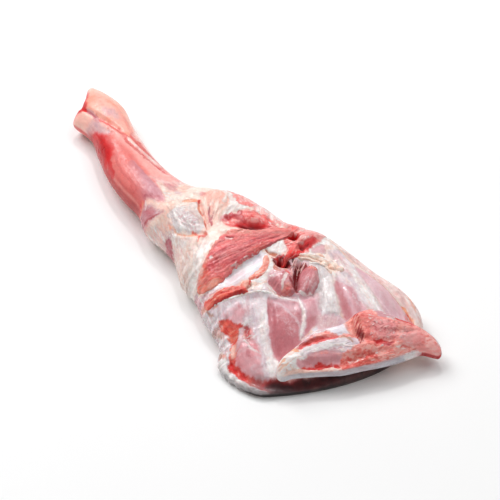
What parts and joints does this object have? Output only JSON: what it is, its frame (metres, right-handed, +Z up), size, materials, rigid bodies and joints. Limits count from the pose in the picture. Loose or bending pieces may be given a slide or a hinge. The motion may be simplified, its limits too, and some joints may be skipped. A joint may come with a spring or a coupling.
{
  "type": "goat leg",
  "caption": "Raw goat fore leg lying inner side up: slim shank with its knuckle, elbow, cut muscles round the joint, and a broad shoulder end with a folded flap of meat.",
  "frame": {"origin": "centre of the bounding box in plan, on the surface that the leg lies on", "axes": "+X along the leg from the knuckle to the broad shoulder end, +Z up through the inner side, so the outer side lies down"},
  "size_m": [0.4618, 0.166, 0.0578],
  "materials": {
    "meat": "moist raw meat, pink to red, with white fat and thin silvery membrane"
  },
  "bodies": {
    "root": {"leg": "meat"}
  },
  "joints": []
}
